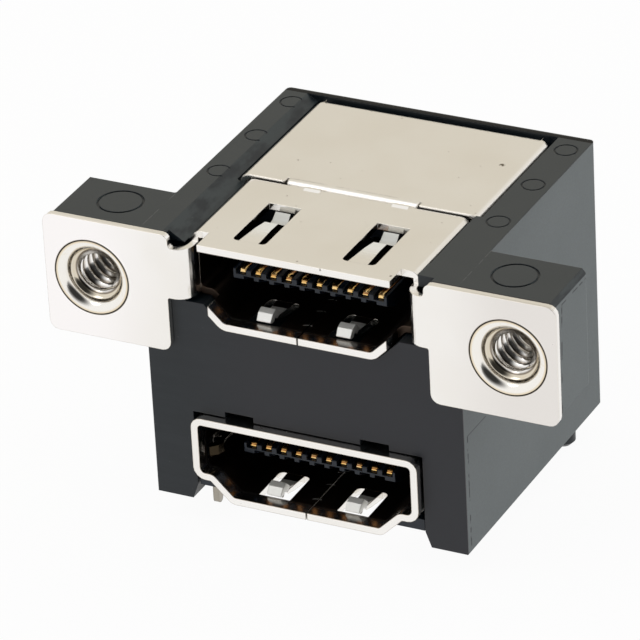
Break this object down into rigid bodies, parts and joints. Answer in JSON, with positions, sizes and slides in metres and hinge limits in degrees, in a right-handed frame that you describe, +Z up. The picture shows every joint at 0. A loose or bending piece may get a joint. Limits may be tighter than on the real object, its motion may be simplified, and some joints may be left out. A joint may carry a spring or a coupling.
{
  "type": "stacked video socket",
  "caption": "Board-mount video socket with stacked D-shaped ports, a black moulded housing, and side ears with metal panel flanges and threaded inserts.",
  "frame": {"origin": "middle of the bounding box in X and Y, at the tips of the shield's board tails", "axes": "+X across the front towards the right-hand ear, +Y into the socket, +Z up from the board"},
  "size_m": [0.0334, 0.0204, 0.0197],
  "materials": {
    "housing_plastic": "satin black moulded plastic",
    "insulator_plastic": "black moulded insulator plastic",
    "nickel_sheet": "nickel plated sheet, satin",
    "contact_gold": "gold plated contact alloy",
    "insert_metal": "nickel plated turned insert"
  },
  "bodies": {
    "root": {"housing": "housing_plastic", "upper_shell": "nickel_sheet", "lower_shell": "nickel_sheet", "rear_shield": "nickel_sheet", "upper_insulator": "insulator_plastic", "lower_insulator": "insulator_plastic", "tail_aligner": "insulator_plastic", "insert_left": "insert_metal", "insert_right": "insert_metal", "lower_contact_01": "contact_gold", "lower_contact_02": "contact_gold", "lower_contact_03": "contact_gold", "lower_contact_04": "contact_gold", "lower_contact_05": "contact_gold", "lower_contact_06": "contact_gold", "lower_contact_07": "contact_gold", "lower_contact_08": "contact_gold", "lower_contact_09": "contact_gold", "lower_contact_10": "contact_gold", "lower_contact_11": "contact_gold", "lower_contact_12": "contact_gold", "lower_contact_13": "contact_gold", "lower_contact_14": "contact_gold", "lower_contact_15": "contact_gold", "lower_contact_16": "contact_gold", "lower_contact_17": "contact_gold", "lower_contact_18": "contact_gold", "lower_contact_19": "contact_gold", "upper_contact_01": "contact_gold", "upper_contact_02": "contact_gold", "upper_contact_03": "contact_gold", "upper_contact_04": "contact_gold", "upper_contact_05": "contact_gold", "upper_contact_06": "contact_gold", "upper_contact_07": "contact_gold", "upper_contact_08": "contact_gold", "upper_contact_09": "contact_gold", "upper_contact_10": "contact_gold", "upper_contact_11": "contact_gold", "upper_contact_12": "contact_gold", "upper_contact_13": "contact_gold", "upper_contact_14": "contact_gold", "upper_contact_15": "contact_gold", "upper_contact_16": "contact_gold", "upper_contact_17": "contact_gold", "upper_contact_18": "contact_gold", "upper_contact_19": "contact_gold"}
  },
  "joints": []
}
